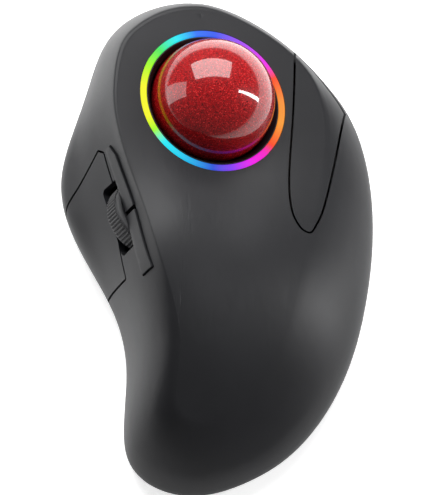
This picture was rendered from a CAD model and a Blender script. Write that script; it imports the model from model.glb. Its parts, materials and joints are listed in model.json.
"""Looks of a right-hand trackball mouse: shell, glitter ball, light ring, wheel, controls and insides."""
import json
from math import cos, pi, radians, sin

import bmesh
import bpy
from mathutils import Matrix, Vector


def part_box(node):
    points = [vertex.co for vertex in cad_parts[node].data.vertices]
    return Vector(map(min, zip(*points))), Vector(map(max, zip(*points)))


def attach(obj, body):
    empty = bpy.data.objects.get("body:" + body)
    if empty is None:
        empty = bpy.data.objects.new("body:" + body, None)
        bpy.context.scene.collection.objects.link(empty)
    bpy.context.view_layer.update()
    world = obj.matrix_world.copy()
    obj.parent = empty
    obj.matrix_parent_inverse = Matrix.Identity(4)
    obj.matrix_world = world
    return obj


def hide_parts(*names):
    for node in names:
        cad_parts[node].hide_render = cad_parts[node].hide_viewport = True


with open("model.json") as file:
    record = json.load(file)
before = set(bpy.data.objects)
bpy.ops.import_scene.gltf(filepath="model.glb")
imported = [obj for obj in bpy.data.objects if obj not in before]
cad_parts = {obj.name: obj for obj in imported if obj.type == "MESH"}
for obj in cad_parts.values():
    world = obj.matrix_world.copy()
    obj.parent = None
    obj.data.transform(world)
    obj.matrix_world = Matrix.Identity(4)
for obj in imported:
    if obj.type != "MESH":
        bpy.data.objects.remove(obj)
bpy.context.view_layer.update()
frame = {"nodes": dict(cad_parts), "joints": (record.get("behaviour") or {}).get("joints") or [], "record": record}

MM = 0.001

# ---------------------------------------------------------------- sizes and places
BALL_LOW, BALL_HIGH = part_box("trackball")
BALL_CENTRE = (BALL_LOW + BALL_HIGH) / 2
BALL_RADIUS = (BALL_HIGH.x - BALL_LOW.x) / 2
RING_NORMAL = Vector((0.344, 0.04, 1.0)).normalized()
RING_RIGHT = (Vector((1, 0, 0)) - RING_NORMAL * RING_NORMAL.x).normalized()
RING_FRONT = RING_NORMAL.cross(RING_RIGHT)

WHEEL_SPIN = next(j for j in frame["joints"] if j["name"] == "wheel_spin")
WHEEL_CENTRE = Vector(WHEEL_SPIN["pos_m"])
WHEEL_AXIS = Vector(WHEEL_SPIN["axis"]).normalized()
WHEEL_RADIUS = 11.0 * MM
WHEEL_WIDTH = 6.0 * MM
TYRE_DEPTH = 1.9 * MM
TYRE_STEPS = 128           # facets round the tyre
TYRE_EASE = 0.8 * MM       # rounding of the tyre's shoulders
RIB_COUNT = 64
RIB_HEIGHT = 0.45 * MM
RIB_THICKNESS = RIB_HEIGHT * 0.8
RIB_SIDES = 10
RIB_MARGIN = 1.8 * MM      # width of the tyre that the ribs leave bare
BALL_FINENESS = 6          # level of the ball's mesh; each level above 1 makes four faces of one

EASED = ("forward_button", "back_button")
EDGE_EASE = 0.22 * MM      # rounding of the side buttons' cut edges
SMOOTH_ANGLE = radians(32)
WELD = 0.002 * MM

SATIN = 0.22               # gloss of the moulded skin
NOISE_LOW, NOISE_HIGH = 0.3, 0.7   # the stretch that a noise's values mostly fill
DRIFT_SCALE = 60.0         # cells per metre of the slow colour drift
GLOSS_DRIFT = 0.1          # share by which a surface's roughness wanders
GRAIN_DEPTH = 0.02 * MM
FLAKE_SCALE = 5200.0       # flakes per metre in the ball
TRACK_SCALE = 420.0        # tracks per metre on a circuit board
TRACK_DEPTH = 0.05 * MM

VIEW_ELEVATION = radians(68)
VIEW_DISTANCE = 4.0
VIEW_HEIGHT = 0.13562      # height of the object plane that fills the frame
VIEW_TARGET = Vector((0.15 * MM, 3.63 * MM, 0))
SENSOR = 36.0

FLOOR_REACH = 3.0
FLOOR_GLOW = 0.6
ROOM_LIGHT = 0.2
SOFTBOXES = [  # (name, place, what it is turned to, size, power)
    ("front_box", (-0.02, 0.46, 0.50), (0, 0.03, 0.03), (0.74, 0.46), 8.0),
    ("thumb_panel", (-0.60, 0.10, 0.24), (0, 0.02, 0.02), (0.30, 0.50), 1.5),
    ("finger_strip", (0.62, 0.05, 0.10), (0, 0, 0.02), (0.06, 0.90), 4.6),
]


# ---------------------------------------------------------------- material building
def new_material(name, colour, roughness, metallic=0.0):
    """A material with its shader and the object coordinates its patterns follow."""
    material = bpy.data.materials.new(name)
    material.use_nodes = True
    nodes = material.node_tree.nodes
    shader = nodes["Principled BSDF"]
    shader.inputs["Base Color"].default_value = (*colour, 1)
    shader.inputs["Roughness"].default_value = roughness
    shader.inputs["Metallic"].default_value = metallic
    place = nodes.new("ShaderNodeTexCoord")
    return material, shader, place.outputs["Object"]


def noise(material, place, scale, detail=3.0):
    """Cloudy pattern at so many cells per metre."""
    node = material.node_tree.nodes.new("ShaderNodeTexNoise")
    node.inputs["Scale"].default_value = scale
    node.inputs["Detail"].default_value = detail
    material.node_tree.links.new(place, node.inputs["Vector"])
    return node.outputs["Fac"]


def ramp(material, factor, stops):
    """Colours along a factor, as (position, colour) stops."""
    node = material.node_tree.nodes.new("ShaderNodeValToRGB")
    band = node.color_ramp
    while len(band.elements) < len(stops):
        band.elements.new(0.5)
    for element, (position, colour) in zip(band.elements, stops):
        element.position = position
        element.color = (*colour, 1)
    material.node_tree.links.new(factor, node.inputs["Fac"])
    return node.outputs["Color"]


def spread(material, factor, low, high):
    """A noise's values spread over low..high."""
    node = material.node_tree.nodes.new("ShaderNodeMapRange")
    node.inputs["From Min"].default_value = NOISE_LOW
    node.inputs["From Max"].default_value = NOISE_HIGH
    node.inputs["To Min"].default_value = low
    node.inputs["To Max"].default_value = high
    material.node_tree.links.new(factor, node.inputs["Value"])
    return node.outputs["Result"]


def bump(material, shader, height, strength, distance):
    """Fine relief of a surface."""
    node = material.node_tree.nodes.new("ShaderNodeBump")
    node.inputs["Strength"].default_value = strength
    node.inputs["Distance"].default_value = distance
    links = material.node_tree.links
    links.new(height, node.inputs["Height"])
    links.new(node.outputs["Normal"], shader.inputs["Normal"])


def grained(name, colour, roughness, grain=9000.0, strength=0.12, vary=0.12, metallic=0.0,
            gloss=0.5):
    """A moulded or rolled surface: slow colour drift, uneven gloss and a fine grain."""
    material, shader, place = new_material(name, colour, roughness, metallic)
    shader.inputs["Specular IOR Level"].default_value = gloss
    links = material.node_tree.links
    drift = noise(material, place, DRIFT_SCALE)
    low = tuple(c * (1 - vary) for c in colour)
    high = tuple(c * (1 + vary) for c in colour)
    stops = [(NOISE_LOW, low), (NOISE_HIGH, high)]
    links.new(ramp(material, drift, stops), shader.inputs["Base Color"])
    fine = noise(material, place, grain)
    uneven = spread(material, fine, roughness * (1 - GLOSS_DRIFT), roughness * (1 + GLOSS_DRIFT))
    links.new(uneven, shader.inputs["Roughness"])
    bump(material, shader, fine, strength, GRAIN_DEPTH)
    return material


def glitter_resin():
    """Clear-coated red resin full of fine flakes."""
    deep, bright, flake = (0.035, 0.0003, 0.001), (0.30, 0.001, 0.003), (0.75, 0.03, 0.03)
    material, shader, place = new_material("glitter_resin", bright, 0.3)
    nodes, links = material.node_tree.nodes, material.node_tree.links
    cells = nodes.new("ShaderNodeTexVoronoi")
    cells.inputs["Scale"].default_value = FLAKE_SCALE
    links.new(place, cells.inputs["Vector"])
    split = nodes.new("ShaderNodeSeparateColor")
    links.new(cells.outputs["Color"], split.inputs["Color"])
    flakes = ramp(material, split.outputs["Red"],
                  [(0.0, deep), (0.45, bright), (0.9, bright), (0.97, flake)])
    links.new(flakes, shader.inputs["Base Color"])
    links.new(spread(material, split.outputs["Green"], 0.2, 0.5), shader.inputs["Roughness"])
    bump(material, shader, split.outputs["Blue"], 0.25, GRAIN_DEPTH)
    shader.inputs["Specular IOR Level"].default_value = 0.1
    shader.inputs["Coat Weight"].default_value = 1.0
    shader.inputs["Coat Roughness"].default_value = 0.03
    return material


RING_COLOURS = [  # (degrees round the ring from the right, colour)
    (-180, (0.95, 0.95, 0.0)), (-158, (0.95, 0.95, 0.0)), (-146, (0.35, 1.0, 0.0)),
    (-134, (0.0, 0.85, 0.95)), (-116, (0.0, 0.6, 0.9)), (-90, (0.015, 0.085, 0.72)),
    (-74, (0.25, 0.04, 0.95)), (-56, (0.9, 0.0, 0.85)), (-42, (0.95, 0.0, 0.55)),
    (-33, (1.0, 0.05, 0.0)), (-12, (0.95, 0.33, 0.02)), (8, (0.95, 0.28, 0.02)),
    (28, (1.0, 0.05, 0.0)), (40, (0.9, 0.0, 0.8)), (62, (0.45, 0.05, 0.95)),
    (88, (0.02, 0.09, 0.9)), (104, (0.01, 0.17, 0.95)), (122, (0.0, 0.85, 0.95)),
    (140, (0.05, 0.85, 0.1)), (156, (0.35, 1.0, 0.0)), (176, (0.95, 0.95, 0.0)),
]
RING_GLOW = 0.95


def rainbow_diffuser():
    """Milky plastic lit from behind, its colour turning round the ball."""
    material, shader, place = new_material("rainbow_diffuser", (0.02, 0.02, 0.02), 0.4)
    shader.inputs["Specular IOR Level"].default_value = 0.1
    nodes, links = material.node_tree.nodes, material.node_tree.links
    offset = nodes.new("ShaderNodeVectorMath")
    offset.operation = "SUBTRACT"
    offset.inputs[1].default_value = BALL_CENTRE
    links.new(place, offset.inputs[0])
    parts = []
    for direction in (RING_RIGHT, RING_FRONT):
        dot = nodes.new("ShaderNodeVectorMath")
        dot.operation = "DOT_PRODUCT"
        dot.inputs[1].default_value = direction
        links.new(offset.outputs["Vector"], dot.inputs[0])
        parts.append(dot.outputs["Value"])
    angle = nodes.new("ShaderNodeMath")
    angle.operation = "ARCTAN2"
    links.new(parts[1], angle.inputs[0])
    links.new(parts[0], angle.inputs[1])
    turn = nodes.new("ShaderNodeMapRange")
    turn.inputs["From Min"].default_value = -pi
    turn.inputs["From Max"].default_value = pi
    links.new(angle.outputs["Value"], turn.inputs["Value"])
    stops = [((degrees + 180) / 360, colour) for degrees, colour in RING_COLOURS]
    links.new(ramp(material, turn.outputs["Result"], stops), shader.inputs["Emission Color"])
    shader.inputs["Emission Strength"].default_value = RING_GLOW
    return material


def circuit_board():
    """Green solder mask with faint squared tracks."""
    material, shader, place = new_material("circuit_board", (0.01, 0.09, 0.04), 0.4)
    nodes, links = material.node_tree.nodes, material.node_tree.links
    tracks = nodes.new("ShaderNodeTexVoronoi")
    tracks.distance = "MANHATTAN"
    tracks.inputs["Scale"].default_value = TRACK_SCALE
    links.new(place, tracks.inputs["Vector"])
    stops = [(0.0, (0.35, 0.3, 0.12)), (0.12, (0.008, 0.07, 0.03)), (0.6, (0.012, 0.13, 0.055))]
    links.new(ramp(material, tracks.outputs["Distance"], stops), shader.inputs["Base Color"])
    bump(material, shader, tracks.outputs["Distance"], 0.2, TRACK_DEPTH)
    return material


def clear_plastic():
    """Clear moulded lens plastic."""
    material = grained("clear_plastic", (0.85, 0.88, 0.9), 0.08, 2500.0, 0.04, 0.03)
    shader = material.node_tree.nodes["Principled BSDF"]
    shader.inputs["Transmission Weight"].default_value = 0.9
    return material


def finishes():
    """Every slot's finish."""
    return {
        "shell_plastic": grained("shell_plastic", (0.0125, 0.0127, 0.0145), 0.42, gloss=SATIN),
        "button_plastic": grained("button_plastic", (0.0125, 0.0127, 0.0145), 0.42, gloss=SATIN),
        "bar_plastic": grained("bar_plastic", (0.0115, 0.0117, 0.0135), 0.36, gloss=SATIN),
        "base_plastic": grained("base_plastic", (0.022, 0.022, 0.024), 0.55, 5000.0, 0.3),
        "cup_plastic": grained("cup_plastic", (0.012, 0.012, 0.014), 0.3, gloss=SATIN),
        "foot_rubber": grained("foot_rubber", (0.014, 0.014, 0.014), 0.5, 4000.0, 0.2),
        "steel": grained("steel", (0.55, 0.55, 0.56), 0.3, 3000.0, 0.15, 0.05, 1.0),
        "ball_resin": glitter_resin(),
        "ceramic": grained("ceramic", (0.8, 0.8, 0.77), 0.12, 3000.0, 0.03, 0.03),
        "ring_diffuser": rainbow_diffuser(),
        "circuit_board": circuit_board(),
        "led_white": grained("led_white", (0.85, 0.85, 0.78), 0.25, 5000.0, 0.05, 0.05),
        "clear_plastic": clear_plastic(),
        "chip_black": grained("chip_black", (0.015, 0.015, 0.016), 0.6, 7000.0, 0.3),
        "port_steel": grained("port_steel", (0.6, 0.6, 0.6), 0.28, 4000.0, 0.1, 0.05, 1.0),
        "battery_wrap": grained("battery_wrap", (0.22, 0.24, 0.28), 0.35, 900.0, 0.15, 0.08),
        "control_plastic": grained("control_plastic", (0.05, 0.05, 0.054), 0.4),
        "switch_plastic": grained("switch_plastic", (0.04, 0.04, 0.044), 0.5),
        "plunger_plastic": grained("plunger_plastic", (0.7, 0.66, 0.58), 0.3, 6000.0, 0.08, 0.06),
        "hub_plastic": grained("hub_plastic", (0.022, 0.022, 0.024), 0.25),
        "wheel_rubber": grained("wheel_rubber", (0.017, 0.017, 0.019), 0.6, 6000.0, 0.3),
    }


# ---------------------------------------------------------------- pieces
def finish_piece(piece, body, material):
    """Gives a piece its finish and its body."""
    piece.data.materials.clear()
    piece.data.materials.append(material)
    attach(piece, body)


def ease_edges(piece):
    """Rounds the sharp edges of a piece a little, as a mould does."""
    modifier = piece.modifiers.new("ease", "BEVEL")
    modifier.width = EDGE_EASE
    modifier.segments = 3
    modifier.limit_method = "ANGLE"
    modifier.angle_limit = SMOOTH_ANGLE
    depsgraph = bpy.context.evaluated_depsgraph_get()
    eased = bpy.data.meshes.new_from_object(piece.evaluated_get(depsgraph))
    piece.modifiers.remove(modifier)
    piece.data = eased


def welded_copy(node, body, material):
    """A node's own surface with its triangles joined, so that it shades as one smooth skin."""
    mesh = frame["nodes"][node].data.copy()
    mesh.name = node + "_skin"
    work = bmesh.new()
    work.from_mesh(mesh)
    bmesh.ops.remove_doubles(work, verts=work.verts, dist=WELD)
    work.to_mesh(mesh)
    work.free()
    if "custom_normal" in mesh.attributes:
        mesh.attributes.remove(mesh.attributes["custom_normal"])
    piece = bpy.data.objects.new(node + "_skin", mesh)
    bpy.context.scene.collection.objects.link(piece)
    if node in EASED:
        ease_edges(piece)
    piece.data.shade_smooth()
    piece.data.set_sharp_from_angle(angle=SMOOTH_ANGLE)
    finish_piece(piece, body, material)
    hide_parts(node)
    return piece


def rib_tree(material):
    """Geometry Nodes tree: rounded ribs standing round a tyre."""
    tree = bpy.data.node_groups.new("tyre_ribs", "GeometryNodeTree")
    face = tree.interface
    face.new_socket("Geometry", in_out="INPUT", socket_type="NodeSocketGeometry")
    face.new_socket("Geometry", in_out="OUTPUT", socket_type="NodeSocketGeometry")
    count = face.new_socket("Rib count", in_out="INPUT", socket_type="NodeSocketInt")
    radius = face.new_socket("Seat radius", in_out="INPUT", socket_type="NodeSocketFloat")
    length = face.new_socket("Rib length", in_out="INPUT", socket_type="NodeSocketFloat")
    thick = face.new_socket("Rib thickness", in_out="INPUT", socket_type="NodeSocketFloat")
    nodes, links = tree.nodes, tree.links
    given = nodes.new("NodeGroupInput")
    result = nodes.new("NodeGroupOutput")
    circle = nodes.new("GeometryNodeMeshCircle")
    links.new(given.outputs["Rib count"], circle.inputs["Vertices"])
    links.new(given.outputs["Seat radius"], circle.inputs["Radius"])
    rod = nodes.new("GeometryNodeMeshCylinder")
    rod.inputs["Vertices"].default_value = RIB_SIDES
    links.new(given.outputs["Rib thickness"], rod.inputs["Radius"])
    links.new(given.outputs["Rib length"], rod.inputs["Depth"])
    place = nodes.new("GeometryNodeInstanceOnPoints")
    links.new(circle.outputs["Mesh"], place.inputs["Points"])
    links.new(rod.outputs["Mesh"], place.inputs["Instance"])
    join = nodes.new("GeometryNodeJoinGeometry")
    links.new(place.outputs["Instances"], join.inputs["Geometry"])
    links.new(given.outputs["Geometry"], join.inputs["Geometry"])
    real = nodes.new("GeometryNodeRealizeInstances")
    links.new(join.outputs["Geometry"], real.inputs["Geometry"])
    paint = nodes.new("GeometryNodeSetMaterial")
    paint.inputs["Material"].default_value = material
    links.new(real.outputs["Geometry"], paint.inputs["Geometry"])
    links.new(paint.outputs["Geometry"], result.inputs["Geometry"])
    return tree, {"count": count.identifier, "radius": radius.identifier,
                  "length": length.identifier, "thick": thick.identifier}


def tyre_band():
    """Closed rubber band of the tyre, turned about its own Z axis."""
    seat = WHEEL_RADIUS - RIB_HEIGHT
    inner = WHEEL_RADIUS - TYRE_DEPTH
    half, ease = WHEEL_WIDTH / 2, TYRE_EASE
    bevel = ease * 0.3
    profile = [(inner, -half), (seat - ease, -half), (seat - bevel, -half + bevel),
               (seat, -half + ease), (seat, half - ease), (seat - bevel, half - bevel),
               (seat - ease, half), (inner, half)]
    work = bmesh.new()
    rings = []
    for k in range(TYRE_STEPS):
        turn = 2 * pi * k / TYRE_STEPS
        rings.append([work.verts.new((r * cos(turn), r * sin(turn), z)) for r, z in profile])
    for k in range(TYRE_STEPS):
        here, after = rings[k], rings[(k + 1) % TYRE_STEPS]
        for i in range(len(profile)):
            j = (i + 1) % len(profile)
            work.faces.new((here[i], after[i], after[j], here[j]))
    bmesh.ops.recalc_face_normals(work, faces=work.faces)
    mesh = bpy.data.meshes.new("tyre_band")
    work.to_mesh(mesh)
    work.free()
    return mesh


def ribbed_tyre(material):
    """Rubber tyre with fine ribs, placed on the wheel's axle."""
    band = bpy.data.objects.new("tyre_band", tyre_band())
    bpy.context.scene.collection.objects.link(band)
    tree, socket = rib_tree(material)
    modifier = band.modifiers.new("ribs", "NODES")
    modifier.node_group = tree
    modifier[socket["count"]] = RIB_COUNT
    modifier[socket["radius"]] = WHEEL_RADIUS - RIB_HEIGHT
    modifier[socket["length"]] = WHEEL_WIDTH - RIB_MARGIN
    modifier[socket["thick"]] = RIB_THICKNESS
    depsgraph = bpy.context.evaluated_depsgraph_get()
    mesh = bpy.data.meshes.new_from_object(band.evaluated_get(depsgraph))
    band.modifiers.remove(modifier)
    bpy.data.objects.remove(band)
    turn = WHEEL_AXIS.to_track_quat("Z", "Y").to_matrix().to_4x4()
    mesh.transform(Matrix.Translation(WHEEL_CENTRE) @ turn)
    mesh.shade_smooth()
    mesh.set_sharp_from_angle(angle=SMOOTH_ANGLE)
    piece = bpy.data.objects.new("ribbed_tyre", mesh)
    bpy.context.scene.collection.objects.link(piece)
    finish_piece(piece, "wheel", material)
    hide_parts("wheel_tyre")


def glitter_ball(material):
    """The ball, fine enough that its highlights stay round."""
    work = bmesh.new()
    bmesh.ops.create_icosphere(work, subdivisions=BALL_FINENESS, radius=BALL_RADIUS)
    bmesh.ops.translate(work, verts=work.verts, vec=BALL_CENTRE)
    mesh = bpy.data.meshes.new("glitter_ball")
    work.to_mesh(mesh)
    work.free()
    mesh.shade_smooth()
    piece = bpy.data.objects.new("glitter_ball", mesh)
    bpy.context.scene.collection.objects.link(piece)
    finish_piece(piece, "ball", material)
    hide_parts("trackball")


# ---------------------------------------------------------------- floor, light and camera
def pale_floor():
    """Plain pale floor, faintly lit from within so that it stays white around the mouse."""
    mesh = bpy.data.meshes.new("floor")
    corners = [(-1, -1), (1, -1), (1, 1), (-1, 1)]
    mesh.from_pydata([(x * FLOOR_REACH, y * FLOOR_REACH, 0) for x, y in corners], [], [(0, 1, 2, 3)])
    floor = bpy.data.objects.new("floor", mesh)
    bpy.context.scene.collection.objects.link(floor)
    material, shader, _ = new_material("floor_white", (0.9, 0.9, 0.9), 0.9)
    shader.inputs["Emission Color"].default_value = (1, 1, 1, 1)
    shader.inputs["Emission Strength"].default_value = FLOOR_GLOW
    mesh.materials.append(material)


def softbox(name, place, aim, size, power):
    """Soft panel of light turned to a point."""
    light = bpy.data.lights.new(name, "AREA")
    light.shape = "RECTANGLE"
    light.size, light.size_y = size
    light.energy = power
    lamp = bpy.data.objects.new(name, light)
    bpy.context.scene.collection.objects.link(lamp)
    lamp.location = place
    lamp.rotation_euler = (Vector(place) - Vector(aim)).to_track_quat("Z", "Y").to_euler()


def studio():
    """Soft studio light."""
    world = bpy.data.worlds.new("studio")
    world.use_nodes = True
    background = world.node_tree.nodes["Background"]
    background.inputs["Color"].default_value = (1, 1, 1, 1)
    background.inputs["Strength"].default_value = ROOM_LIGHT
    bpy.context.scene.world = world
    bpy.context.scene.view_settings.view_transform = "Standard"
    for name, place, aim, size, power in SOFTBOXES:
        softbox(name, place, aim, size, power)


def camera():
    """Camera above the desk, looking down at the mouse from its rear."""
    lens = bpy.data.cameras.new("camera")
    lens.sensor_width = SENSOR
    lens.lens = SENSOR * VIEW_DISTANCE / VIEW_HEIGHT
    eye = bpy.data.objects.new("camera", lens)
    bpy.context.scene.collection.objects.link(eye)
    back = Vector((0, -cos(VIEW_ELEVATION), sin(VIEW_ELEVATION)))
    eye.location = VIEW_TARGET + back * VIEW_DISTANCE
    eye.rotation_euler = back.to_track_quat("Z", "Y").to_euler()
    bpy.context.scene.camera = eye


# ---------------------------------------------------------------- the mouse
def dress():
    """Every node's skin and finish."""
    made = finishes()
    slots = {s["node"]: s["material_slot"] for s in frame["record"]["subparts"]}
    body_of = {n: b for b, ns in frame["record"]["behaviour"]["bodies"].items() for n in ns}
    for node in sorted(frame["nodes"]):
        slot = slots[node]
        if node == "trackball":
            glitter_ball(made[slot])
        elif node == "wheel_tyre":
            ribbed_tyre(made[slot])
        else:
            welded_copy(node, body_of[node], made[slot])


camera()
studio()
pale_floor()
dress()
